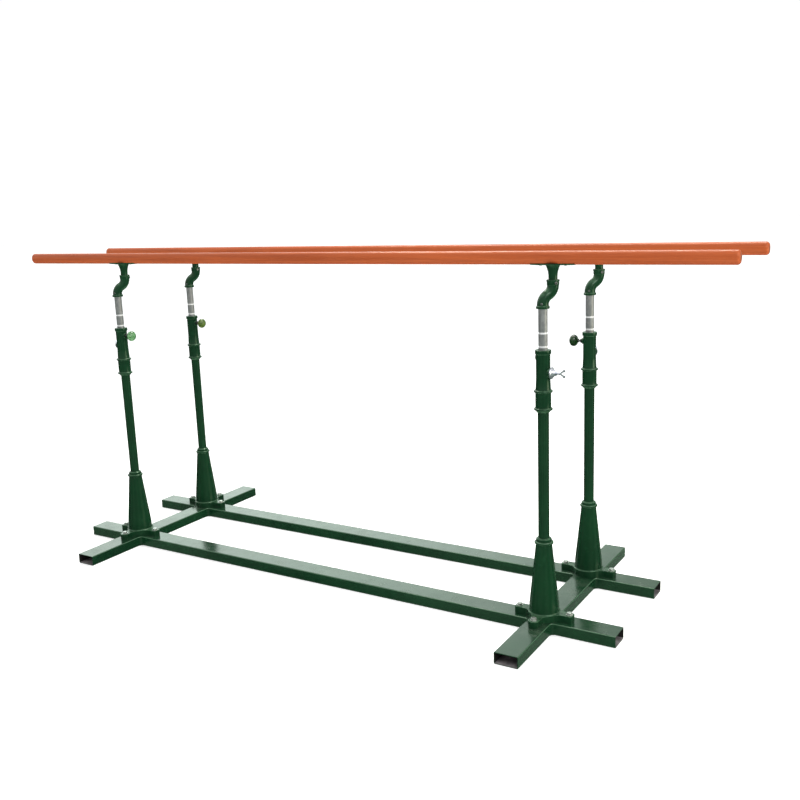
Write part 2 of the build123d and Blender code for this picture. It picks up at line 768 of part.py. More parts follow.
# ---------------------------------------------------------------- elbow
def elbow(mast):
    """S-shaped crank: it turns on the lift tube and carries the saddle's spigot."""
    plane = upright(mast.x, mast.y, CRANK_DIRECTION)
    bend_radius = CRANK_RADIUS / 2 / (1 - cos(radians(ELBOW_BEND_ANGLE)))
    spigot_clearance = SLIDING if mast.side < 0 else OPEN_PIVOT_CLEARANCE
    top = Plane(origin=(mast.saddle_x, mast.saddle_y, ELBOW_TOP_Z))
    with BuildPart() as casting:
        with BuildLine(plane):
            rise = Line((0, ELBOW_BOTTOM_Z), (0, ELBOW_STRAIGHT_Z))
            out = JernArc(rise @ 1, rise % 1, bend_radius, -ELBOW_BEND_ANGLE)
            back = JernArc(out @ 1, out % 1, bend_radius, ELBOW_BEND_ANGLE)
            Line(back @ 1, (CRANK_RADIUS, ELBOW_TOP_Z))
        with BuildSketch(Plane(origin=(mast.x, mast.y, ELBOW_BOTTOM_Z))):
            Circle(ELBOW_PIPE_RADIUS)
        sweep()
        with BuildSketch(Plane(origin=(mast.x, mast.y, ELBOW_BOTTOM_Z))):
            Circle(ELBOW_RIM_RADIUS)
        extrude(amount=ELBOW_RIM_HEIGHT)
        with BuildSketch(top):
            Circle(ELBOW_TOP_RADIUS)
        extrude(amount=-ELBOW_TOP_HEIGHT)

        with BuildSketch(Plane(origin=(mast.x, mast.y, ELBOW_BOTTOM_Z))):
            Circle(LIFT_RADIUS + SLIDING)
        extrude(amount=ELBOW_SOCKET_DEPTH, mode=Mode.SUBTRACT)
        with BuildSketch(top):
            Circle(SPIGOT_RADIUS + spigot_clearance)
        extrude(amount=-(SPIGOT_LENGTH + SPIGOT_ROOM), mode=Mode.SUBTRACT)

        rod(mast, LOWER_SCREW_DIRECTION, LOWER_SCREW_Z, 0, ELBOW_RIM_RADIUS,
            LOWER_SCREW_RADIUS + FIT, Mode.SUBTRACT)
        upper_screw_hole(mast)
    return casting.part


def upper_screw_hole(mast):
    a = radians(mast.upper_screw)
    outward = Plane(
        origin=(mast.saddle_x, mast.saddle_y, UPPER_SCREW_Z),
        x_dir=(0, 0, 1),
        z_dir=(cos(a), sin(a), 0),
    )
    with BuildSketch(outward) as section:
        Circle(UPPER_SCREW_RADIUS + FIT)
    extrude(section.sketch, amount=ELBOW_TOP_RADIUS + SCREW_HEAD_EXTRA, mode=Mode.SUBTRACT)


def set_screw(x, y, z, direction, tip, surface, radius):
    """A round-headed set screw that points inwards."""
    turned(
        upright(x, y, direction, z),
        Axis((x, y, z), (cos(radians(direction)), sin(radians(direction)), 0)),
        (
            (tip, 0),
            (tip, radius),
            (surface, radius),
            (surface, radius + SCREW_HEAD_EXTRA),
            (surface + SCREW_HEAD_REACH - SCREW_HEAD_CHAMFER, radius + SCREW_HEAD_EXTRA),
            (surface + SCREW_HEAD_REACH, radius),
            (surface + SCREW_HEAD_REACH, 0),
        ),
    )


def elbow_screws(mast):
    lower_tip = LIFT_RADIUS - SCREW_GROOVE_DEPTH + TIP_GAP
    upper_tip = SPIGOT_RADIUS - SCREW_GROOVE_DEPTH + TIP_GAP
    with BuildPart() as screws:
        set_screw(mast.x, mast.y, LOWER_SCREW_Z, LOWER_SCREW_DIRECTION,
                  lower_tip, ELBOW_PIPE_RADIUS + SCREW_HEAD_GAP, LOWER_SCREW_RADIUS)
        set_screw(mast.saddle_x, mast.saddle_y, UPPER_SCREW_Z, mast.upper_screw,
                  upper_tip, ELBOW_TOP_RADIUS + FIT, UPPER_SCREW_RADIUS)
    return screws.part


# ---------------------------------------------------------------- saddle and bar
def across_bar(x, y):
    """The plane across a bar at the given X: its X points to +Y, its Y is up."""
    return Plane(origin=(x, y, BAR_CENTRE_Z), x_dir=(0, 1, 0), z_dir=(1, 0, 0))


def saddle(mast):
    side = upright(mast.saddle_x, mast.saddle_y)
    axis = Axis((mast.saddle_x, mast.saddle_y, 0), (0, 0, 1))
    neck_bottom = ELBOW_TOP_Z + TURN_GAP
    trumpet_end = (TRUMPET_RADIUS, TRUMPET_TOP_Z)
    half_width = BAR_WIDTH / 2
    half_height = BAR_HEIGHT / 2
    bar_bottom = upright(mast.saddle_x, mast.saddle_y, z=BAR_CENTRE_Z - half_height)
    with BuildPart() as casting:
        # spigot, neck and trumpet
        with BuildSketch(side):
            with BuildLine():
                Polyline(
                    (0, TRUMPET_TOP_Z),
                    (0, ELBOW_TOP_Z - SPIGOT_LENGTH),
                    (SPIGOT_RADIUS, ELBOW_TOP_Z - SPIGOT_LENGTH),
                    (SPIGOT_RADIUS, neck_bottom),
                    (NECK_RADIUS, neck_bottom),
                    (NECK_RADIUS, NECK_TOP_Z),
                )
                ThreePointArc((NECK_RADIUS, NECK_TOP_Z), TRUMPET_MIDDLE, trumpet_end)
                Line(trumpet_end, (0, TRUMPET_TOP_Z))
            make_face()
        revolve(axis=axis)
        groove(side, axis, UPPER_SCREW_Z, 2 * UPPER_SCREW_RADIUS + SCREW_GROOVE_EXTRA,
               SPIGOT_RADIUS, SCREW_GROOVE_DEPTH)

        # strap that follows the bar's underside
        with BuildSketch(across_bar(mast.saddle_x, mast.saddle_y)):
            Ellipse(half_width + STRAP_THICKNESS, half_height + STRAP_THICKNESS)
            Rectangle(STRAP_WIDTH, 2 * BAR_HEIGHT, mode=Mode.INTERSECT)
            with Locations((0, BAR_HEIGHT / 2)):
                Rectangle(2 * BAR_WIDTH, BAR_HEIGHT, mode=Mode.SUBTRACT)
        extrude(amount=STRAP_LENGTH / 2, both=True)
        for end in (-1, 1):
            taper_x = end * STRAP_LENGTH / 2
            with BuildSketch(bar_bottom) as taper:
                with BuildLine():
                    Polyline(
                        (taper_x - end * STRAP_END_TAPER, -STRAP_THICKNESS),
                        (taper_x, -STRAP_END_THICKNESS),
                        (taper_x, -STRAP_THICKNESS),
                        close=True,
                    )
                make_face()
            extrude(taper.sketch, amount=BAR_WIDTH, both=True, mode=Mode.SUBTRACT)

        with BuildSketch(across_bar(mast.saddle_x, mast.saddle_y)):
            Ellipse(half_width + FIT / 2, half_height + FIT / 2)
        extrude(amount=STRAP_LENGTH, both=True, mode=Mode.SUBTRACT)
        with BuildSketch(Plane(origin=(mast.saddle_x, mast.saddle_y, BAR_CENTRE_Z - BAR_HEIGHT))):
            with Locations((-WOOD_SCREW_OFFSET, 0), (WOOD_SCREW_OFFSET, 0)):
                Circle(WOOD_SCREW_RADIUS + FIT)
        extrude(amount=BAR_HEIGHT, mode=Mode.SUBTRACT)
    return casting.part


def row_masts(row):
    return [mast for mast in MASTS if mast.row == row]


def wood_screw_points(row):
    return [
        (mast.saddle_x + offset, mast.saddle_y)
        for mast in row_masts(row)
        for offset in (-WOOD_SCREW_OFFSET, WOOD_SCREW_OFFSET)
    ]


def saddle_screws(row):
    head_top = BAR_CENTRE_Z - BAR_HEIGHT / 2 - STRAP_THICKNESS
    with BuildPart() as screws:
        with BuildSketch(Plane.XY.offset(head_top)):
            with Locations(*wood_screw_points(row)):
                Circle(WOOD_SCREW_HEAD_RADIUS)
        extrude(amount=-WOOD_SCREW_HEAD_HEIGHT)
        with BuildSketch(Plane.XY.offset(head_top)):
            with Locations(*wood_screw_points(row)):
                Circle(WOOD_SCREW_RADIUS)
        extrude(amount=WOOD_SCREW_LENGTH)
    return screws.part


def bar(row):
    y = row_masts(row)[0].saddle_y
    screw_top = BAR_CENTRE_Z - BAR_HEIGHT / 2 - STRAP_THICKNESS + WOOD_SCREW_LENGTH
    with BuildPart() as wood:
        with BuildSketch(across_bar(0, y)):
            Ellipse(BAR_WIDTH / 2, BAR_HEIGHT / 2)
        extrude(amount=BAR_LENGTH / 2, both=True)
        fillet(wood.edges().filter_by(GeomType.ELLIPSE), radius=BAR_END_RADIUS)
        with BuildSketch(across_bar(0, y)):
            Circle(CORE_RADIUS + FIT / 2)
        extrude(amount=BAR_LENGTH / 2, both=True, mode=Mode.SUBTRACT)
        with BuildSketch(Plane.XY.offset(BAR_CENTRE_Z - BAR_HEIGHT)):
            with Locations(*wood_screw_points(row)):
                Circle(WOOD_SCREW_RADIUS)
        extrude(amount=screw_top - BAR_CENTRE_Z + BAR_HEIGHT, mode=Mode.SUBTRACT)
    return wood.part


def bar_core(row):
    y = row_masts(row)[0].saddle_y
    with BuildPart() as core:
        with BuildSketch(across_bar(0, y)):
            Circle(CORE_RADIUS)
        extrude(amount=CORE_LENGTH / 2, both=True)
    return core.part


def bar_plugs(row):
    y = row_masts(row)[0].saddle_y
    with BuildPart() as plugs:
        for end in (-1, 1):
            with BuildSketch(across_bar(end * CORE_LENGTH / 2, y)):
                Circle(CORE_RADIUS)
            extrude(amount=end * (BAR_LENGTH - CORE_LENGTH) / 2)
    return plugs.part


# ---------------------------------------------------------------- the whole apparatus
MAST_PIECES = {
    "pedestal": pedestal,
    "column": column,
    "head": head,
    "lift_tube": lift_tube,
    "plunger": plunger,
    "plunger_spring": plunger_spring,
    "clamp_screw": clamp_screw,
    "elbow": elbow,
    "elbow_screws": elbow_screws,
    "saddle": saddle,
}

os.makedirs("parts", exist_ok=True)
make_base()
make_base_fasteners()
make_bushes()
make_housings()
make_clamp_cups()
for one_mast in MASTS:
    for piece_name, make_piece in MAST_PIECES.items():
        save(make_piece(one_mast), f"{piece_name}_{one_mast.name}")
for row_name, row_sign in (("front", -1), ("rear", 1)):
    save(bar(row_sign), f"{row_name}_bar")
    save(bar_core(row_sign), f"{row_name}_bar_core")
    save(bar_plugs(row_sign), f"{row_name}_bar_plugs")
    save(saddle_screws(row_sign), f"saddle_screws_{row_name}")
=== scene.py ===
"""Looks of the parallel bars: materials, finished castings and screws, studio and camera.

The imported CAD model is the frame. Every length here is in metres unless a name or comment says
millimetres, and every place comes from the boxes of the CAD nodes.
"""

from math import atan2, cos, pi, radians, sin, tan

import bmesh
import bpy
from mathutils import Matrix, Vector, noise


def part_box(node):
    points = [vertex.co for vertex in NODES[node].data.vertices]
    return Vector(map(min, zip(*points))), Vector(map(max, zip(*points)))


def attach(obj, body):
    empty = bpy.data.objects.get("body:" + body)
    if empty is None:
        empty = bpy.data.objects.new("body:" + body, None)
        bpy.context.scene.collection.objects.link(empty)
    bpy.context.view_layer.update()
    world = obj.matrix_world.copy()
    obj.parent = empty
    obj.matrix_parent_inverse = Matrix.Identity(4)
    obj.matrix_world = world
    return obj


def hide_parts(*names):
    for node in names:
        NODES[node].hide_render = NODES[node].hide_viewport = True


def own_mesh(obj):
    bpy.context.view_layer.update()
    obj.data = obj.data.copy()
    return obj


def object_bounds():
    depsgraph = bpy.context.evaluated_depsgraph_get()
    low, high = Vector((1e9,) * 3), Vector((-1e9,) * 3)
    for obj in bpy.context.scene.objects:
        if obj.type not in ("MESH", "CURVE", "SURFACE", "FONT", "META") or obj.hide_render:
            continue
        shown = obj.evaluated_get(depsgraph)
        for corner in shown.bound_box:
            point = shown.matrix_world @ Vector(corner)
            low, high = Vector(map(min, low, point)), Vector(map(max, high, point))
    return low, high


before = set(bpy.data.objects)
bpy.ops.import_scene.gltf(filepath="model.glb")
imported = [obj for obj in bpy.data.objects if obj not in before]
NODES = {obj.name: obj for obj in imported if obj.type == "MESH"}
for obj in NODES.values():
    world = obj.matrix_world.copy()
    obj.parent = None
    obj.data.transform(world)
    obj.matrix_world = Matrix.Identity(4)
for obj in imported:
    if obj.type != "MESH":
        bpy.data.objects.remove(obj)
cad_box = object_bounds()
MASTS = ("front_left", "front_right", "rear_left", "rear_right")
MM = Matrix.Scale(0.001, 4)

# colours
GREEN = (0.0046, 0.034, 0.0125)
GREEN_THIN = (0.012, 0.062, 0.025)
# lighter green: thin paint and a painted highlight on the tubes' corners, a painted highlight on the
# castings' rims
GREEN_THIN_EDGE_AND_HIGHLIGHT = (0.050, 0.115, 0.062)
GREEN_THICK = (0.0036, 0.025, 0.0098)
PRIMER = (0.14, 0.14, 0.125)
WOOD_DEEP = (0.32, 0.058, 0.014)
WOOD_MID = (0.44, 0.088, 0.022)
WOOD_LIGHT = (0.54, 0.130, 0.038)
WOOD_PORE = (0.15, 0.026, 0.008)

# the lift tube's latch grooves: the first above the tube's foot, their pitch and width, in metres
GROOVE_START = 0.157
GROOVE_PITCH = 0.050
GROOVE_WIDTH = 0.006
GROOVE_COUNT = 8

# places of the small pieces, in metres: above the floor, and out from the masts' axes
LATCH_HEIGHT = 1.055
CLAMP_HEIGHT = 1.008
BETWEEN_ELBOW_SCREWS = 1.30
BOLT_CIRCLE = 0.103


# ---------------------------------------------------------------- places
def middle(node):
    """The middle of a CAD node's box."""
    low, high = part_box(node)
    return (low + high) / 2


def mast_axis(mast):
    """The mast's axis: the middle of its lift tube, which is round."""
    return middle(f"lift_tube_{mast}")


def saddle_axis(mast):
    """The saddle's axis, which the elbow carries beside the mast's."""
    return middle(f"saddle_{mast}")


def direction_of(node, mast):
    """The way that a piece of the head sticks out from the mast, as an angle about +Z."""
    out = middle(node) - mast_axis(mast)
    return atan2(out.y, out.x)


def standing(point, z):
    """Millimetres above a point, Z up."""
    return Matrix.Translation((point.x, point.y, z)) @ MM


def pointing(point, z, angle):
    """Millimetres outwards from a vertical axis: local Z points along the angle."""
    turn = Matrix.Rotation(angle, 4, "Z") @ Matrix.Rotation(pi / 2, 4, "Y")
    return Matrix.Translation((point.x, point.y, z)) @ turn @ MM


# ---------------------------------------------------------------- mesh making
def full_turn(segments):
    """Equally spaced angles."""
    return [2 * pi * i / segments for i in range(segments)]


def circle(place, along, radius, angles):
    """Points about the place's Z axis."""
    return [place @ Vector((radius * cos(t), radius * sin(t), along)) for t in angles]


def average(points):
    return sum(points, Vector()) / len(points)


class Shape:
    """Vertices and faces of one piece, gathered part by part."""

    def __init__(self):
        self.vertices = []
        self.faces = []

    def skin(self, rings, closed=False):
        """Join each ring of points to the next; a ring of one point is a pole."""
        starts = []
        for ring in rings:
            starts.append((len(self.vertices), len(ring)))
            self.vertices += [tuple(point) for point in ring]
        pairs = list(zip(starts, starts[1:]))
        if closed:
            pairs.append((starts[-1], starts[0]))
        for (a, count_a), (b, count_b) in pairs:
            count = max(count_a, count_b)
            for i in range(count):
                j = (i + 1) % count
                if count_a == 1:
                    self.faces.append((a, b + i, b + j))
                elif count_b == 1:
                    self.faces.append((a + i, b, a + j))
                else:
                    self.faces.append((a + i, b + i, b + j, a + j))

    def lathe(self, place, profile, segments=72, closed=False):
        """Turn (along, radius) points about the place's Z axis."""
        angles = full_turn(segments)
        rings = []
        for along, radius in profile:
            if radius == 0:
                rings.append([place @ Vector((0, 0, along))])
            else:
                rings.append(circle(place, along, radius, angles))
        self.skin(rings, closed)

    def piece(self, name, material, body, crease=35):
        """Make the object, shaded smooth but for edges sharper than the crease angle."""
        mesh = bpy.data.meshes.new(name)
        mesh.from_pydata(self.vertices, [], self.faces)
        work = bmesh.new()
        work.from_mesh(mesh)
        bmesh.ops.remove_doubles(work, verts=work.verts, dist=1e-6)
        bmesh.ops.recalc_face_normals(work, faces=work.faces)
        work.to_mesh(mesh)
        work.free()
        shade_smooth(mesh, crease)
        made = bpy.data.objects.new(name, mesh)
        bpy.context.scene.collection.objects.link(made)
        mesh.materials.append(material)
        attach(made, body)
        return made


def shade_smooth(mesh, crease):
    """Smooth shading, with sharp edges above the crease angle in degrees."""
    mesh.polygons.foreach_set("use_smooth", [True] * len(mesh.polygons))
    mesh.set_sharp_from_angle(angle=radians(crease))
    mesh.update()


def rounded(corners, steps=5):
    """Points of a profile whose (x, y, radius) corners are rounded by arcs."""
    points = []
    last = len(corners) - 1
    for i, (x, y, radius) in enumerate(corners):
        here = Vector((x, y))
        if radius == 0 or i in (0, last):
            points.append((x, y))
            continue
        back = (Vector(corners[i - 1][:2]) - here).normalized()
        on = (Vector(corners[i + 1][:2]) - here).normalized()
        half = back.angle(on) / 2
        centre = here + (back + on).normalized() * radius / sin(half)
        first = here + back * radius / tan(half) - centre
        final = here + on * radius / tan(half) - centre
        start = atan2(first.y, first.x)
        turn = (atan2(final.y, final.x) - start + pi) % (2 * pi) - pi
        for k in range(steps + 1):
            t = start + turn * k / steps
            points.append((centre.x + radius * cos(t), centre.y + radius * sin(t)))
    return points


# ---------------------------------------------------------------- shader kit
class Shader:
    """A material's node tree, with short calls for the nodes that the finishes share."""

    def __init__(self, name, **settings):
        self.material = bpy.data.materials.new(name)
        self.material.use_nodes = True
        self.tree = self.material.node_tree
        self.surface = self.tree.nodes["Principled BSDF"]
        self.coordinates = self.tree.nodes.new("ShaderNodeTexCoord")
        self.place = self.coordinates.outputs["Object"]
        self.facing = self.coordinates.outputs["Normal"]
        for socket, value in settings.items():
            self.surface.inputs[socket.replace("_", " ")].default_value = value

    def link(self, source, target):
        """Feed a socket from another socket, or set it to a value."""
        if hasattr(source, "links"):
            self.tree.links.new(source, target)
        else:
            target.default_value = source

    def stretched(self, scale):
        """Object coordinates scaled along each axis."""
        node = self.tree.nodes.new("ShaderNodeMapping")
        node.inputs["Scale"].default_value = scale
        self.link(self.place, node.inputs["Vector"])
        return node.outputs["Vector"]

    def noise(self, scale, detail=3.0, roughness=0.5, vector=None, distortion=0.0):
        node = self.tree.nodes.new("ShaderNodeTexNoise")
        self.link(vector or self.place, node.inputs["Vector"])
        node.inputs["Scale"].default_value = scale
        node.inputs["Detail"].default_value = detail
        node.inputs["Roughness"].default_value = roughness
        node.inputs["Distortion"].default_value = distortion
        return node.outputs["Fac"]

    def cells(self, scale, vector):
        """A random colour per cell."""
        node = self.tree.nodes.new("ShaderNodeTexVoronoi")
        self.link(vector, node.inputs["Vector"])
        node.inputs["Scale"].default_value = scale
        return node.outputs["Color"]

    def math(self, operation, a, b=0.0, clamp=False):
        node = self.tree.nodes.new("ShaderNodeMath")
        node.operation = operation
        node.use_clamp = clamp
        self.link(a, node.inputs[0])
        self.link(b, node.inputs[1])
        return node.outputs["Value"]

    def between(self, value, low, high, to_low=0.0, to_high=1.0):
        """Map low..high to to_low..to_high, held at both ends."""
        node = self.tree.nodes.new("ShaderNodeMapRange")
        node.interpolation_type = "SMOOTHSTEP"
        self.link(value, node.inputs["Value"])
        node.inputs["From Min"].default_value = low
        node.inputs["From Max"].default_value = high
        node.inputs["To Min"].default_value = to_low
        node.inputs["To Max"].default_value = to_high
        return node.outputs["Result"]

    def mix(self, share, a, b):
        """Mix two colours, each a socket or a (red, green, blue) triple."""
        node = self.tree.nodes.new("ShaderNodeMix")
        node.data_type = "RGBA"
        self.link(share, node.inputs["Factor"])
        for name, colour in (("A", a), ("B", b)):
            socket = next(s for s in node.inputs if s.name == name and s.type == "RGBA")
            self.link(colour if hasattr(colour, "links") else (*colour, 1.0), socket)
        return next(s for s in node.outputs if s.type == "RGBA")

    def parts(self, vector):
        node = self.tree.nodes.new("ShaderNodeSeparateXYZ")
        self.link(vector, node.inputs["Vector"])
        return node.outputs["X"], node.outputs["Y"], node.outputs["Z"]

    def normal_parts(self):
        """The size of each part of the surface's direction."""
        return [self.math("ABSOLUTE", part) for part in self.parts(self.facing)]

    def bump(self, height, distance, under=None):
        node = self.tree.nodes.new("ShaderNodeBump")
        node.inputs["Distance"].default_value = distance
        self.link(height, node.inputs["Height"])
        if under is not None:
            self.link(under, node.inputs["Normal"])
        return node.outputs["Normal"]

    def finish(self, colour, roughness=None, normal=None, metallic=None):
        """Feed the surface, and give the finished material."""
        found = {"Base Color": colour, "Roughness": roughness, "Normal": normal, "Metallic": metallic}
        for name, source in found.items():
            if source is not None:
                self.link(source, self.surface.inputs[name])
        return self.material


class Sky(Shader):
    """The same short calls for the world's node tree."""

    def __init__(self, world):
        world.use_nodes = True
        self.tree = world.node_tree
        self.coordinates = self.tree.nodes.new("ShaderNodeTexCoord")
        self.place = self.coordinates.outputs["Generated"]


# ---------------------------------------------------------------- finishes
def enamel(name, peel, cast, corners, coat, ior):
    """Thick glossy green enamel, which pulls thin and pale on edges, with a painted highlight on a tube's
    corners and a casting's rims.

    peel: the height of its orange peel. cast: the height of the rough casting under it, or 0; a casting gets
    a painted highlight on its beads and rims.
    corners: it lies on square tube, whose rounded corners show chips, thin paint and a painted highlight.
    """
    s = Shader(
        name, IOR=ior, Specular_Tint=(0.70, 1.0, 0.76, 1.0),
        Coat_Weight=coat, Coat_Roughness=0.16, Coat_IOR=1.5,
    )
    clouds = s.noise(2.3, detail=5.0, roughness=0.6)
    mottle = s.noise(38.0, detail=4.0, roughness=0.65)
    colour = s.mix(s.between(clouds, 0.35, 0.68), GREEN_THICK, GREEN)
    colour = s.mix(s.between(mottle, 0.52, 0.80, 0.0, 0.35), colour, GREEN_THIN)

    # dust that settles on upward faces, and dulls the gloss a little
    up = s.between(s.parts(s.facing)[2], 0.6, 0.98)
    dust = s.math("MULTIPLY", up, s.between(s.noise(11.0, detail=6.0, roughness=0.7), 0.40, 0.75))
    colour = s.mix(s.math("MULTIPLY", dust, 0.16), colour, (0.20, 0.23, 0.19))

    # chips that show the grey primer
    flakes = s.between(s.noise(310.0, detail=3.0, roughness=0.6), 0.735, 0.76)
    places = s.between(s.noise(5.5, detail=2.0), 0.56, 0.66)
    chips = s.math("MULTIPLY", flakes, places)
    if corners:
        # the rounded corners of a tube look both up or down and sideways; their lighter green is partly thin
        # paint and partly a painted highlight
        x, y, z = s.normal_parts()
        bent = s.math("MAXIMUM", s.math("MULTIPLY", x, z), s.math("MULTIPLY", y, z))
        edge = s.between(bent, 0.12, 0.42)
        colour = s.mix(s.math("MULTIPLY", edge, 0.6), colour, GREEN_THIN_EDGE_AND_HIGHLIGHT)
        rubbed = s.between(s.noise(120.0, detail=5.0, roughness=0.7), 0.62, 0.68)
        chips = s.math("MAXIMUM", chips, s.math("MULTIPLY", s.math("MULTIPLY", edge, rubbed), places))
    if cast:
        # the beads and rims of a casting look partly up or down, and get a painted highlight in patches
        rims = s.between(s.normal_parts()[2], 0.30, 0.62)
        patchy = s.between(s.noise(64.0, detail=3.0), 0.34, 0.60, 0.25, 0.75)
        colour = s.mix(s.math("MULTIPLY", rims, patchy), colour, GREEN_THIN_EDGE_AND_HIGHLIGHT)
    colour = s.mix(chips, colour, PRIMER)

    smears = s.noise(17.0, detail=5.0, roughness=0.6, distortion=0.6)
    gloss = s.between(smears, 0.3, 0.75, 0.12, 0.26)
    gloss = s.math("ADD", gloss, s.math("MULTIPLY", dust, 0.10))
    gloss = s.math("ADD", gloss, s.math("MULTIPLY", chips, 0.35), clamp=True)

    normal = s.bump(s.noise(230.0, detail=2.0), distance=peel)
    if cast:
        rough_cast = s.math("ADD", s.noise(95.0, detail=3.0), s.noise(520.0, detail=3.0, roughness=0.7))
        normal = s.bump(rough_cast, distance=cast, under=normal)
    normal = s.bump(s.math("MULTIPLY", chips, -1.0), distance=0.00012, under=normal)
    return s.finish(colour, gloss, normal)


def bare_steel():
    """Bare inside of the base tubes: dark mill scale, with grey dust and a little rust below, and painted
    shade: all but the upward faces are nearly black.
    """
    s = Shader("bare_steel")
    scale = s.noise(24.0, detail=6.0, roughness=0.65)
    colour = s.mix(s.between(scale, 0.35, 0.7), (0.20, 0.185, 0.19), (0.46, 0.42, 0.43))
    rust = s.between(s.noise(60.0, detail=6.0, roughness=0.7), 0.60, 0.72)
    colour = s.mix(s.math("MULTIPLY", rust, 0.6), colour, (0.10, 0.045, 0.022))
    # painted shade: the walls and roof inside the tube are nearly black, and the upward faces keep the
    # steel's colour
    up = s.between(s.parts(s.facing)[2], 0.5, 0.9)
    colour = s.mix(up, (0.020, 0.018, 0.017), colour)
    gloss = s.between(scale, 0.3, 0.7, 0.42, 0.65)
    return s.finish(colour, gloss, s.bump(s.noise(420.0, detail=4.0), distance=0.00015), 0.35)


def galvanised():
    """Zinc-coated lift tube: faint spangle, fine draw lines, and bright turned latch grooves, painted near
    white as a highlight.
    """
    s = Shader("galvanised_tube")
    low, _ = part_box("lift_tube_front_left")
    spangle = s.parts(s.cells(140.0, vector=s.stretched((1.0, 1.0, 0.55))))[0]
    lines = s.noise(1.0, detail=4.0, roughness=0.6, vector=s.stretched((900.0, 900.0, 9.0)))
    colour = s.mix(s.between(spangle, 0.1, 0.9), (0.27, 0.28, 0.28), (0.34, 0.35, 0.35))
    colour = s.mix(s.between(lines, 0.45, 0.75, 0.0, 0.4), colour, (0.45, 0.46, 0.46))
    stain = s.between(s.noise(34.0, detail=5.0, roughness=0.7), 0.55, 0.80)
    colour = s.mix(s.math("MULTIPLY", stain, 0.25), colour, (0.24, 0.245, 0.24))

    # the latch grooves: turned metal, painted near white and less metallic as a painted highlight
    height = s.math("SUBTRACT", s.parts(s.place)[2], low.z + GROOVE_START)
    pitch = s.math("FRACT", s.math("ADD", s.math("DIVIDE", height, GROOVE_PITCH), 0.5))
    off = s.math("MULTIPLY", s.math("ABSOLUTE", s.math("SUBTRACT", pitch, 0.5)), GROOVE_PITCH)
    turned = s.between(off, GROOVE_WIDTH * 0.53, GROOVE_WIDTH * 0.62, 1.0, 0.0)
    turned = s.math("MULTIPLY", turned, s.math("LESS_THAN", height, GROOVE_PITCH * (GROOVE_COUNT - 0.5)))
    colour = s.mix(turned, colour, (0.72, 0.73, 0.73))
    gloss = s.between(spangle, 0.1, 0.9, 0.36, 0.46)
    metal = s.math("ADD", s.math("MULTIPLY", turned, -0.45), 0.72)
    height = s.math("ADD", s.math("MULTIPLY", spangle, 0.4), lines)
    return s.finish(colour, gloss, s.bump(height, distance=0.00005), metal)


def bright_zinc(name, light, dark, low_gloss, high_gloss, relief, metallic=0.78):
    """Bright zinc plating with water stains, and the grain of the metal under it."""
    s = Shader(name)
    stains = s.noise(75.0, detail=5.0, roughness=0.65)
    colour = s.mix(s.between(stains, 0.4, 0.72), light, dark)
    tint = s.noise(33.0, detail=2.0)
    colour = s.mix(s.between(tint, 0.5, 0.75, 0.0, 0.25), colour, (0.80, 0.78, 0.66))
    gloss = s.between(stains, 0.3, 0.75, low_gloss, high_gloss)
    grain = s.math("ADD", s.noise(700.0, detail=3.0), s.noise(180.0, detail=2.0))
    return s.finish(colour, gloss, s.bump(grain, distance=relief), metallic)


def dark_steel(name, colour_low, colour_high, gloss_low, gloss_high):
    """Plain or blackened steel under an uneven film of oil."""
    s = Shader(name)
    film = s.noise(130.0, detail=5.0, roughness=0.65)
    colour = s.mix(s.between(film, 0.3, 0.7), colour_low, colour_high)
    gloss = s.between(s.noise(60.0, detail=4.0), 0.3, 0.7, gloss_low, gloss_high)
    return s.finish(colour, gloss, s.bump(s.noise(800.0), distance=0.00004), 0.85)


def knob_plastic(name, deep, pale, see_through):
    """Cast green resin, a little see-through, with swirls and handling marks."""
    s = Shader(name, IOR=1.49, Transmission_Weight=see_through, Coat_Weight=0.15, Coat_Roughness=0.05)
    swirl = s.noise(62.0, detail=3.0, roughness=0.55, distortion=1.6)
    colour = s.mix(s.between(swirl, 0.40, 0.60), deep, pale)
    marks = s.between(s.noise(210.0, detail=6.0, roughness=0.7), 0.5, 0.8, 0.06, 0.20)
    return s.finish(colour, marks, s.bump(s.noise(90.0), distance=0.00008))


def moulded_plastic():
    """Cream plastic of the guide bushes, with flow marks."""
    s = Shader("bush_plastic")
    flow = s.noise(90.0, detail=3.0, vector=s.stretched((1.0, 1.0, 0.3)))
    colour = s.mix(s.between(flow, 0.3, 0.7), (0.55, 0.53, 0.47), (0.64, 0.62, 0.56))
    gloss = s.between(flow, 0.3, 0.7, 0.38, 0.5)
    return s.finish(colour, gloss, s.bump(s.noise(600.0), distance=0.00005))


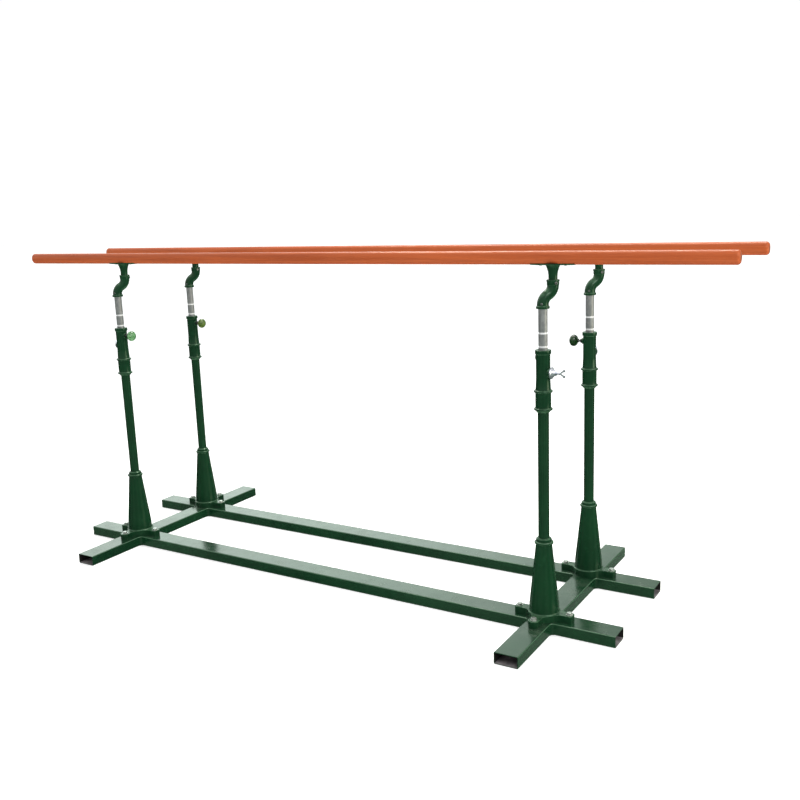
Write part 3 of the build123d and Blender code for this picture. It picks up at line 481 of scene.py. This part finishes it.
def bar_wood():
    """Orange-brown stained wood: long fibres, fine pores, lacquer on top, end grain at the tips."""
    s = Shader("bar_wood", IOR=1.5, Specular_Tint=(1.0, 0.70, 0.52, 1.0))
    waves = s.noise(1.0, detail=5.0, roughness=0.6, vector=s.stretched((1.1, 46.0, 46.0)), distortion=0.7)
    fibres = s.noise(1.0, detail=4.0, roughness=0.7, vector=s.stretched((9.0, 520.0, 520.0)))
    pores = s.noise(1.0, detail=2.0, roughness=0.5, vector=s.stretched((55.0, 1500.0, 1500.0)))
    patches = s.noise(0.9, detail=3.0, vector=s.stretched((1.6, 9.0, 9.0)))

    colour = s.mix(s.between(waves, 0.32, 0.70), WOOD_DEEP, WOOD_MID)
    colour = s.mix(s.between(fibres, 0.45, 0.78, 0.0, 0.55), colour, WOOD_LIGHT)
    colour = s.mix(s.between(patches, 0.48, 0.72, 0.0, 0.35), colour, WOOD_MID)
    dark_pores = s.between(pores, 0.64, 0.74)
    colour = s.mix(s.math("MULTIPLY", dark_pores, 0.45), colour, WOOD_PORE)

    # end grain on the faces that look along the bar
    ends = s.between(s.normal_parts()[0], 0.75, 0.95)
    rings = s.noise(1.0, detail=4.0, roughness=0.6, vector=s.stretched((30.0, 90.0, 260.0)), distortion=1.2)
    grain = s.mix(s.between(rings, 0.35, 0.65), WOOD_PORE, WOOD_MID)
    colour = s.mix(s.math("MULTIPLY", ends, 0.8), colour, grain)

    handling = s.noise(14.0, detail=5.0, roughness=0.65)
    gloss = s.between(handling, 0.3, 0.75, 0.30, 0.44)
    gloss = s.math("ADD", gloss, s.math("MULTIPLY", dark_pores, 0.12))
    height = s.math("ADD", s.math("MULTIPLY", fibres, 0.6), s.math("MULTIPLY", dark_pores, -0.6))
    return s.finish(colour, gloss, s.bump(height, distance=0.00018))


def plug_wood():
    """End grain of the plugs in the bars' ends."""
    s = Shader("plug_wood")
    rings = s.noise(420.0, detail=4.0, roughness=0.6, vector=s.stretched((0.2, 1.0, 1.0)), distortion=1.5)
    colour = s.mix(s.between(rings, 0.35, 0.65), WOOD_PORE, WOOD_DEEP)
    return s.finish(colour, s.between(rings, 0.3, 0.7, 0.3, 0.45), s.bump(rings, distance=0.0001))


def glass_fibre():
    """Pale green-grey rod with long strands."""
    s = Shader("glass_fibre")
    strands = s.noise(1.0, detail=4.0, vector=s.stretched((12.0, 900.0, 900.0)))
    colour = s.mix(s.between(strands, 0.3, 0.7), (0.42, 0.44, 0.36), (0.62, 0.64, 0.55))
    return s.finish(colour, s.between(strands, 0.3, 0.7, 0.3, 0.5), s.bump(strands, distance=0.0001))


FINISH = {
    "base_enamel": enamel("base_enamel", peel=0.00007, cast=0, corners=True, coat=0.45, ior=1.5),
    "tube_enamel": enamel("tube_enamel", peel=0.00006, cast=0, corners=False, coat=0.1, ior=1.45),
    "casting_enamel": enamel(
        "casting_enamel", peel=0.00006, cast=0.00016, corners=False, coat=0.0, ior=1.42
    ),
    "galvanised_tube": galvanised(),
    "zinc_fasteners": bright_zinc(
        "zinc_fasteners", (0.60, 0.63, 0.60), (0.40, 0.43, 0.40), 0.22, 0.36, 0.00004, 0.9
    ),
    "zinc_clamp": bright_zinc(
        "zinc_clamp", (0.74, 0.78, 0.86), (0.56, 0.61, 0.70), 0.24, 0.38, 0.00008, 0.92
    ),
    "elbow_screws": dark_steel("dull_screws", (0.10, 0.115, 0.11), (0.22, 0.24, 0.23), 0.30, 0.45),
    "blackened_steel": dark_steel(
        "blackened_steel", (0.03, 0.035, 0.033), (0.07, 0.08, 0.075), 0.28, 0.42
    ),
    "spring_steel": dark_steel("spring_steel", (0.28, 0.27, 0.25), (0.42, 0.41, 0.38), 0.22, 0.36),
    "bush_plastic": moulded_plastic(),
    "bar_wood": bar_wood(),
    "plug_wood": plug_wood(),
    "glass_fibre": glass_fibre(),
}
INSIDE = bare_steel()
# one green resin for all four knobs, in lit and shaded copies: the pale and olive ones are painted light,
# the dark one painted shade
SHADED_KNOB_RESIN = knob_plastic("knob_dark_resin", (0.003, 0.014, 0.003), (0.012, 0.050, 0.012), 0.10)
KNOBS = {
    "front_left": knob_plastic("knob_pale_resin", (0.020, 0.13, 0.024), (0.20, 0.42, 0.20), 0.25),
    "front_right": SHADED_KNOB_RESIN,
    "rear_left": knob_plastic("knob_olive_resin", (0.045, 0.095, 0.012), (0.13, 0.19, 0.045), 0.30),
    "rear_right": SHADED_KNOB_RESIN,
}


def finish_of(node):
    """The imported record's material slot of a CAD node, which its imported material is named after."""
    return NODES[node].data.materials[0].name.split(".")[0]


# ---------------------------------------------------------------- CAD nodes that stay
def soften_edges(node, width):
    """Round a CAD node's sharp edges: merge its flat triangles, then bevel what is still sharp."""
    made = NODES[node]
    mesh = made.data
    if "custom_normal" in mesh.attributes:
        mesh.attributes.remove(mesh.attributes["custom_normal"])
    shade_smooth(mesh, crease=30)
    flat = made.modifiers.new("merge_flats", "DECIMATE")
    flat.decimate_type = "DISSOLVE"
    flat.angle_limit = radians(0.5)
    bevel = made.modifiers.new("soft_edges", "BEVEL")
    bevel.width = width
    bevel.segments = 2
    bevel.limit_method = "ANGLE"
    bevel.angle_limit = radians(40)
    bevel.harden_normals = True


def paint_inside(node):
    """Give the inner walls of a node's tubes the bare-steel finish."""
    within = 0.0022  # an inner wall lies deeper than this in its tube, in metres
    mesh = NODES[node].data
    mesh.materials.append(INSIDE)
    faces_at = {}
    for face in mesh.polygons:
        for corner in face.vertices:
            faces_at.setdefault(spot(mesh, corner), []).append(face.index)
    todo = set(range(len(mesh.polygons)))
    while todo:
        tube = flood(mesh, faces_at, todo)
        points = [mesh.vertices[v].co for index in tube for v in mesh.polygons[index].vertices]
        low = [min(point[axis] for point in points) for axis in range(3)]
        high = [max(point[axis] for point in points) for axis in range(3)]
        along = 0 if high[0] - low[0] > high[1] - low[1] else 1
        for index in tube:
            face = mesh.polygons[index]
            is_end = abs(face.normal[along]) > 0.9
            is_inside = all(
                low[axis] + within < face.center[axis] < high[axis] - within for axis in (1 - along, 2)
            )
            if is_inside and not is_end:
                face.material_index = 1


def spot(mesh, vertex):
    """A vertex's place in microns, the same for vertices that meet at a seam."""
    return tuple(round(part * 1e6) for part in mesh.vertices[vertex].co)


def flood(mesh, faces_at, todo):
    """Take the faces of one separate tube out of todo."""
    start = todo.pop()
    tube, fresh = [start], [start]
    while fresh:
        for corner in mesh.polygons[fresh.pop()].vertices:
            for other in faces_at[spot(mesh, corner)]:
                if other in todo:
                    todo.remove(other)
                    tube.append(other)
                    fresh.append(other)
    return tube


# ---------------------------------------------------------------- finished castings and small pieces
# Their profiles are lists of (along the axis, radius, corner radius) in millimetres. They lie in
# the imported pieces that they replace.
def make_head(mast):
    """Cast head: two beads, a tapered barrel with a lip, and the latch and clamp bosses."""
    head = Shape()
    place = standing(mast_axis(mast), 0.0)
    head.lathe(place, rounded([
        (860, 21.4, 0), (860, 24.4, 1.2), (867.5, 29.2, 2.0), (867.7, 34.9, 4.2), (876.3, 34.9, 4.2),
        (876.6, 29.2, 1.4), (934.4, 29.2, 1.4), (934.7, 34.9, 4.2), (943.3, 34.9, 4.2),
        (943.8, 28.4, 1.6), (985, 26.4, 30.0), (1076.5, 26.3, 2.0), (1079.5, 29.7, 1.4),
        (1093, 29.7, 2.0), (1093, 24.0, 0.8), (1092.2, 22.6, 0.8), (1092.2, 17.4, 0.5), (1036, 17.4, 0),
        (1036, 20.1, 0), (933, 20.1, 0), (933, 21.4, 0),
    ], steps=4), segments=96, closed=True)
    for part, z, reach, radius, bore, root in (
        (f"plunger_{mast}", LATCH_HEIGHT, 31.0, 13.0, 9.1, 21.0),
        (f"clamp_screw_{mast}", CLAMP_HEIGHT, 31.4, 18.9, 5.2, 17.5),
    ):
        boss = pointing(mast_axis(mast), z, direction_of(part, mast))
        head.lathe(boss, rounded([
            (root, bore, 0), (root, radius, 0), (reach, radius, 2.2), (reach, bore, 0.6), (root, bore, 0),
        ]), segments=48)
    made = head.piece(f"finished_head_{mast}", FINISH["casting_enamel"], "base")
    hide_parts(f"head_{mast}")


def make_elbow(mast):
    """S-shaped crank casting: a beaded rim below, two bends, a beaded socket above."""
    socket_radius, spigot_radius = 17.2, 12.6
    socket_depth, spigot_depth = 26.0, 31.0
    low, start, top = 1244.0, 1258.0, 1347.0  # foot, start of the first bend, crown
    bend = radians(60.0)
    foot = mast_axis(mast)
    out = saddle_axis(mast) - foot
    out.z = 0.0
    crank = out.length * 1000
    out.normalize()
    side = Vector((-out.y, out.x, 0.0))
    radius = crank / 2 / (1 - cos(bend))
    rise = 2 * radius * sin(bend)

    def centre(along):
        """Sideways and upward place of the pipe's centre line, and its lean."""
        if along <= start:
            return 0.0, along, 0.0
        turn = (along - start) / radius
        if turn <= bend:
            return radius * (1 - cos(turn)), start + radius * sin(turn), turn
        if turn <= 2 * bend:
            left = 2 * bend - turn
            return crank - radius * (1 - cos(left)), start + rise - radius * sin(left), left
        return crank, start + rise + (turn - 2 * bend) * radius, 0.0

    finish_at = start + 2 * bend * radius + (top - start - rise)
    outer = rounded([
        (low, socket_radius, 0), (low, 23.4, 0.8), (low + 1.0, 24.9, 1.2), (low + 8.0, 24.9, 2.6),
        (low + 10.5, 21.7, 1.6), (start + 6, 21.3, 0), (start + bend * radius * 0.55, 21.0, 0),
        (start + bend * radius, 20.6, 0), (start + bend * radius * 1.45, 21.0, 0),
        (finish_at - 21.0, 21.4, 1.0), (finish_at - 19.0, 22.4, 1.0), (finish_at - 7.5, 22.5, 0.6),
        (finish_at - 6.0, 23.9, 1.0), (finish_at - 0.2, 23.9, 1.6), (finish_at, 20.0, 0.4),
        (finish_at, spigot_radius, 0),
    ], steps=4)
    # points at most a few millimetres apart, so that the bends come out smooth
    spacing = 3.0
    dense = [outer[0]]
    for along, size in outer[1:]:
        before, size_before = dense[-1]
        parts = max(1, int(abs(along - before) / spacing))
        for k in range(1, parts + 1):
            share = k / parts
            dense.append((before + (along - before) * share, size_before + (size - size_before) * share))
    profile = [(low + socket_depth, 0.0), (low + socket_depth, socket_radius)] + dense
    profile += [(finish_at - spigot_depth, spigot_radius), (finish_at - spigot_depth, 0.0)]

    angles = full_turn(72)
    rings = []
    for along, size in profile:
        x, z, lean = centre(along)
        point = foot + (out * x + Vector((0, 0, z))) / 1000
        point.z = z / 1000
        across = out * cos(lean) - Vector((0, 0, sin(lean)))
        if size == 0.0:
            rings.append([point])
        else:
            rings.append([point + (across * cos(t) + side * sin(t)) * size / 1000 for t in angles])
    elbow = Shape()
    elbow.skin(rings)
    made = elbow.piece(
        f"finished_elbow_{mast}", FINISH["casting_enamel"], f"crank_{mast}"
    )
    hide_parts(f"elbow_{mast}")


def hexagon(angle, across):
    """Distance from the middle to a hexagon's edge."""
    return across / 2 / cos((angle + pi / 6) % (pi / 3) - pi / 6)


def make_bolts():
    """Hexagon bolts of the flanges, with the heads' corners turned off, and short threads."""
    head_height, across, shank_radius, core_radius = 7.5, 19.0, 6.0, 5.3
    point_radius, point_length, thread_start = 4.8, 1.2, 2.0
    thread_pitch, thread_flat, thread_turns = 1.75, 0.9, 8
    whole = 99.0  # no limit: the plain hexagon
    crown = ((-head_height, whole), (-1.8, whole), (-1.35, 10.6), (-0.9, 10.1), (-0.4, 9.5), (0.0, 8.8))
    dished = -0.15
    angles = full_turn(48)
    low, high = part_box("pedestal_bolts")
    length = (high.z - low.z) * 1000

    shank = [(-length, point_radius), (-length + point_length, shank_radius)]
    for k in range(thread_turns):
        step = -length + thread_start + thread_pitch * k
        shank += [(step, shank_radius), (step + thread_flat, core_radius)]
    shank += [(-head_height, shank_radius)]

    bolts = Shape()
    noise.seed_set(11)
    for mast in MASTS:
        outward = -pi / 2 if mast.startswith("front") else pi / 2
        for turn in (0.0, pi, outward):
            point = mast_axis(mast) + BOLT_CIRCLE * Vector((cos(turn), sin(turn), 0.0))
            spin = Matrix.Rotation(noise.random() * pi / 3, 4, "Z")
            place = Matrix.Translation((point.x, point.y, high.z)) @ spin @ MM
            rings = [[place @ Vector((0, 0, -length))]]
            for z, radius in shank:
                rings.append(circle(place, z, radius, angles))
            for z, limit in crown:
                radii = [min(hexagon(t, across), limit) for t in angles]
                rings.append([
                    place @ Vector((radius * cos(t), radius * sin(t), z)) for radius, t in zip(radii, angles)
                ])
            rings.append([place @ Vector((0, 0, dished))])
            bolts.skin(rings)
    made = bolts.piece("finished_pedestal_bolts", FINISH["zinc_fasteners"], "base", 22)
    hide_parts("pedestal_bolts")


def make_plunger(mast):
    """Pull knob, a flattened ball of cast resin with a neck, and the latch pin inside it."""
    place = pointing(mast_axis(mast), LATCH_HEIGHT, direction_of(f"plunger_{mast}", mast))
    middle_out, half_length, radius = 68.0, 18.0, 24.0
    bore, bore_end = 4.55, 66.2
    ball = []
    for a in range(146, 11, -6):
        ball.append((middle_out + half_length * cos(radians(a)), radius * sin(radians(a))))
    cap = [(85.65, 4.2), (85.9, 2.0), (85.9, 0.0)]
    neck = rounded([(46.5, bore, 0), (46.5, 7.4, 1.0), (51.0, 7.6, 1.5), (*ball[0], 0)], steps=4)
    knob = Shape()
    knob.lathe(place, [(bore_end, 0.0), (bore_end, bore)] + neck + ball[1:] + cap)
    made = knob.piece(f"finished_knob_{mast}", KNOBS[mast], f"latch_{mast}", 50)
    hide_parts(f"plunger_{mast}")

    pin = Shape()
    pin.lathe(place, [
        (17.2, 0.0), (17.2, 3.5), (18.2, 4.5), (22.6, 4.5), (22.6, 7.2), (24.6, 7.2), (24.6, 4.5),
        (65.6, 4.5), (66.0, 4.1), (66.0, 0.0),
    ], segments=36)
    pin.piece(f"latch_pin_{mast}", FINISH["elbow_screws"], f"latch_{mast}")


def make_spring(mast):
    """Coil spring between the pin's collar and the sleeve's cap."""
    place = pointing(mast_axis(mast), LATCH_HEIGHT, direction_of(f"plunger_{mast}", mast))
    low, high, travel = 25.5, 35.1, 6.0
    coil_radius, wire_radius = 6.05, 0.6
    turns, per_turn = 4, 40
    rings = []
    for i in range(turns * per_turn + 1):
        turn = 2 * pi * i / per_turn
        along = low + (high - low) * i / (turns * per_turn)
        ring = []
        for t in full_turn(12):
            out = coil_radius + wire_radius * cos(t)
            ring.append(place @ Vector((out * cos(turn), out * sin(turn), along + wire_radius * sin(t))))
        rings.append(ring)
    spring = Shape()
    spring.skin([[average(rings[0])]] + rings + [[average(rings[-1])]])
    made = spring.piece(f"finished_spring_{mast}", FINISH["spring_steel"], "base", 50)
    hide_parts(f"plunger_spring_{mast}")
    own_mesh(made)


def make_set_screws(mast):
    """Dull screws with a dished head: one holds the elbow on its tube, one the saddle."""
    head_extra, head_height, socket_depth = 1.6, 3.0, 2.2
    node = f"elbow_screws_{mast}"
    corners = [vertex.co for vertex in NODES[node].data.vertices]
    upper = [p for p in corners if p.z > BETWEEN_ELBOW_SCREWS]
    lower = [p for p in corners if p.z <= BETWEEN_ELBOW_SCREWS]
    screws = Shape()
    for points, axis, start, radius in (
        (lower, mast_axis(mast), 15.7, 3.0),
        (upper, saddle_axis(mast), 10.9, 4.0),
    ):
        ends = [min(p[i] for p in points) + max(p[i] for p in points) for i in range(3)]
        out = Vector((ends[0] / 2 - axis.x, ends[1] / 2 - axis.y, 0.0))
        reach = max((p - axis).xy.dot(out.xy.normalized()) for p in points) * 1000
        place = pointing(axis, ends[2] / 2, atan2(out.y, out.x))
        big = radius + head_extra
        screws.lathe(place, rounded([
            (start, 0, 0), (start, radius - 0.8, 0), (start + 0.8, radius, 0),
            (reach - head_height, radius, 0), (reach - head_height, big, 0.3), (reach, big, 1.0),
            (reach, radius * 0.62, 0.3), (reach - socket_depth, radius * 0.55, 0),
            (reach - socket_depth - 0.2, 0, 0),
        ], steps=4), segments=36)
    made = screws.piece(f"finished_{node}", FINISH["elbow_screws"], f"crank_{mast}")
    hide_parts(node)


def make_weld(mast):
    """Welds of a base crossing: rounded inner corners, and flush beads across the top."""
    half, height, edge = 48.0, 46.0, 4.0  # the tube's half width, height and corner
    leg, lap, skin, foot = 12.0, 6.0, 0.12, 0.4
    levels = [(foot, 0.0), (height - edge, 0.0)]
    for a in (15, 30, 45, 60, 75, 90):
        levels.append((height - edge + edge * sin(radians(a)), edge * (1 - cos(radians(a)))))
    bead = (
        (43.6, 42.0), (43.6, 46.02), (44.6, 46.35), (46.0, 46.5), (47.4, 46.35), (48.5, 46.02),
        (48.5, 42.0),
    )
    bead_half_length, bead_level_half, bead_slope, bead_steps = 46.0, 42.0, 0.25, 22

    point = mast_axis(mast)
    place = Matrix.Translation((point.x, point.y, cad_box[0].z)) @ MM
    weld = Shape()
    for sx in (-1, 1):
        for sy in (-1, 1):
            rings = []
            for z, inset in levels:
                size = leg + inset
                ring = [(half - lap, half - lap), (half + leg, half - lap)]
                for k in range(9):
                    t = radians(270 - 90 * k / 8)
                    ring.append((half + leg + size * cos(t), half + leg + size * sin(t)))
                ring.append((half - lap, half + leg))
                rings.append([place @ Vector((sx * x, sy * y, z)) for x, y in ring])
            below = average(rings[0])
            below.z = rings[0][0].z
            top = [p + Vector((0, 0, skin / 1000)) for p in rings[-1]]
            inner = [place @ Vector((sx * half, sy * half, height + skin))]
            weld.skin([[below]] + rings + [top, inner])
    for sx in (-1, 1):
        rings = []
        for k in range(bead_steps + 1):
            y = -bead_half_length + 2 * bead_half_length * k / bead_steps
            drop = max(0.0, abs(y) - bead_level_half) * bead_slope
            rings.append([place @ Vector((sx * x, y, z - drop)) for x, z in bead])
        weld.skin([[average(rings[0])]] + rings + [[average(rings[-1])]])
    weld.piece(f"crossing_weld_{mast}", FINISH["base_enamel"], "base", 50)


# ---------------------------------------------------------------- the object
for node_name, node_object in NODES.items():
    slot_name = finish_of(node_name)
    if slot_name in FINISH:
        node_object.data.materials[0] = FINISH[slot_name]

for tube_name in ("cross_member_left", "cross_member_right", "rail_front", "rail_rear", "rail_stubs"):
    paint_inside(tube_name)
for node_name, width in (("pedestal_washers", 0.0006), ("plunger_housings", 0.0004), ("clamp_cups", 0.0006)):
    soften_edges(node_name, width)
for mast_name in MASTS:
    soften_edges(f"clamp_screw_{mast_name}", 0.0008)
    soften_edges(f"saddle_{mast_name}", 0.0006)
    make_head(mast_name)
    make_elbow(mast_name)
    make_plunger(mast_name)
    make_spring(mast_name)
    make_set_screws(mast_name)
    make_weld(mast_name)
make_bolts()


# ---------------------------------------------------------------- studio and camera
# The surroundings: a dim, streaky lower half, a soft dome, and one bright panel behind the left
# end, for the gloss of the tubes' flat tops.
SKY_STRENGTH = 2.2
SKY_LOWER_DARK = (0.008, 0.012, 0.010)
SKY_LOWER_LIGHT = (0.115, 0.150, 0.118)
SKY_LOW = (0.30, 0.305, 0.305)
SKY_ZENITH = (0.40, 0.40, 0.405)
SKY_BRIGHT = (0.84, 0.94, 0.89)
FLOOR_GLOW = 0.38
# each softbox: name, place, what it points at, size, power, colour
LAMPS = (
    ("key", (4.2, -2.4, 4.0), (0.3, 0.0, 0.7), (3.0, 2.0), 100.0, (1.0, 1.0, 1.0)),
    ("side", (5.6, 0.6, 1.3), (1.1, 0.0, 0.1), (2.4, 1.4), 50.0, (1.0, 0.93, 0.72)),
    ("top", (0.0, 1.5, 4.6), (0.0, 0.0, 1.4), (4.4, 0.9), 190.0, (1.0, 0.98, 0.90)),
)


def add_stage(name, shape, material):
    """Make a piece of the studio from a bmesh."""
    mesh = bpy.data.meshes.new(name)
    shape.to_mesh(mesh)
    shape.free()
    mesh.materials.append(material)
    thing = bpy.data.objects.new(name, mesh)
    bpy.context.scene.collection.objects.link(thing)
    return thing


def build_studio():
    """A pale floor that glows a little, and a white backdrop that only the camera sees."""
    s = Shader("pale_floor", Roughness=0.9, Emission_Color=(1, 1, 1, 1), Emission_Strength=FLOOR_GLOW)
    tone = s.between(s.noise(1.7, detail=3.0), 0.3, 0.7)
    pale = s.finish(s.mix(tone, (0.90, 0.90, 0.90), (0.93, 0.93, 0.93)))
    disc = bmesh.new()
    bmesh.ops.create_circle(disc, cap_ends=True, segments=128, radius=60.0)
    floor = add_stage("floor", disc, pale)
    floor.location.z = cad_box[0].z - 0.0005
    floor.visible_glossy = False

    white = bpy.data.materials.new("backdrop_white")
    white.use_nodes = True
    surface = white.node_tree.nodes["Principled BSDF"]
    surface.inputs["Base Color"].default_value = (0, 0, 0, 1)
    surface.inputs["Emission Color"].default_value = (1, 1, 1, 1)
    surface.inputs["Emission Strength"].default_value = 1.0
    dome = bmesh.new()
    bmesh.ops.create_uvsphere(dome, u_segments=64, v_segments=32, radius=55.0)
    backdrop = add_stage("backdrop", dome, white)
    for ray in ("diffuse", "glossy", "volume_scatter", "shadow"):
        setattr(backdrop, f"visible_{ray}", False)


def build_sky():
    """The surroundings that light the object and show in its gloss."""
    world = bpy.data.worlds.new("studio")
    sky = Sky(world)
    x, y, z = sky.parts(sky.place)

    def along(share_x, share_y):
        return sky.math("ADD", sky.math("MULTIPLY", x, share_x), sky.math("MULTIPLY", y, share_y))

    streaks = sky.noise(3.6, detail=1.0, vector=sky.stretched((1.0, 1.0, 0.0)))
    near = sky.between(along(0.52, -0.85), -0.35, 0.35)
    lit = sky.math("MULTIPLY", sky.between(streaks, 0.42, 0.58), near)
    lower = sky.mix(lit, SKY_LOWER_DARK, SKY_LOWER_LIGHT)
    upper = sky.mix(sky.between(z, 0.10, 0.90), SKY_LOW, SKY_ZENITH)
    colour = sky.mix(sky.between(z, -0.01, 0.05), lower, upper)

    # a shaded part straight behind, for the tops near the right-hand masts
    shade = sky.math("MULTIPLY", sky.between(y, 0.66, 0.86), sky.between(z, 0.45, 0.60, 1.0, 0.0))
    colour = sky.mix(sky.math("MULTIPLY", shade, 0.85), colour, SKY_LOWER_LIGHT)

    # the bright panel behind the left end
    band = sky.math("MULTIPLY", sky.between(z, 0.14, 0.24), sky.between(z, 0.44, 0.52, 1.0, 0.0))
    panel = sky.math("MULTIPLY", band, sky.between(along(-0.85, 0.52), 0.60, 0.88))
    colour = sky.mix(panel, colour, SKY_BRIGHT)

    background = sky.tree.nodes["Background"]
    sky.link(colour, background.inputs["Color"])
    background.inputs["Strength"].default_value = SKY_STRENGTH
    bpy.context.scene.world = world


def build_lamps():
    """Three softboxes."""
    for name, place, target, size, energy, tint in LAMPS:
        lamp = bpy.data.lights.new(name, "AREA")
        lamp.shape = "RECTANGLE"
        lamp.size, lamp.size_y = size
        lamp.energy = energy
        lamp.color = tint
        softbox = bpy.data.objects.new(name, lamp)
        softbox.location = place
        aim = Vector(target) - softbox.location
        softbox.rotation_mode = "QUATERNION"
        softbox.rotation_quaternion = aim.to_track_quat("-Z", "Y")
        bpy.context.scene.collection.objects.link(softbox)


def build_camera():
    """The view from the front right, a little above the bars."""
    place = (2.3916, -3.3983, 1.6354)
    heading, pitch, roll = -31.617, 11.876, -2.121
    lens = bpy.data.cameras.new("camera")
    lens.sensor_width = 36.0
    lens.lens = 42.04
    lens.clip_start = 0.05
    lens.clip_end = 200.0
    camera = bpy.data.objects.new("camera", lens)
    camera.matrix_world = (
        Matrix.Translation(place)
        @ Matrix.Rotation(radians(-heading), 4, "Z")
        @ Matrix.Rotation(radians(90 - pitch), 4, "X")
        @ Matrix.Rotation(radians(roll), 4, "Z")
    )
    bpy.context.scene.collection.objects.link(camera)
    bpy.context.scene.camera = camera


build_studio()
build_sky()
build_lamps()
build_camera()
bpy.context.scene.view_settings.view_transform = "Standard"
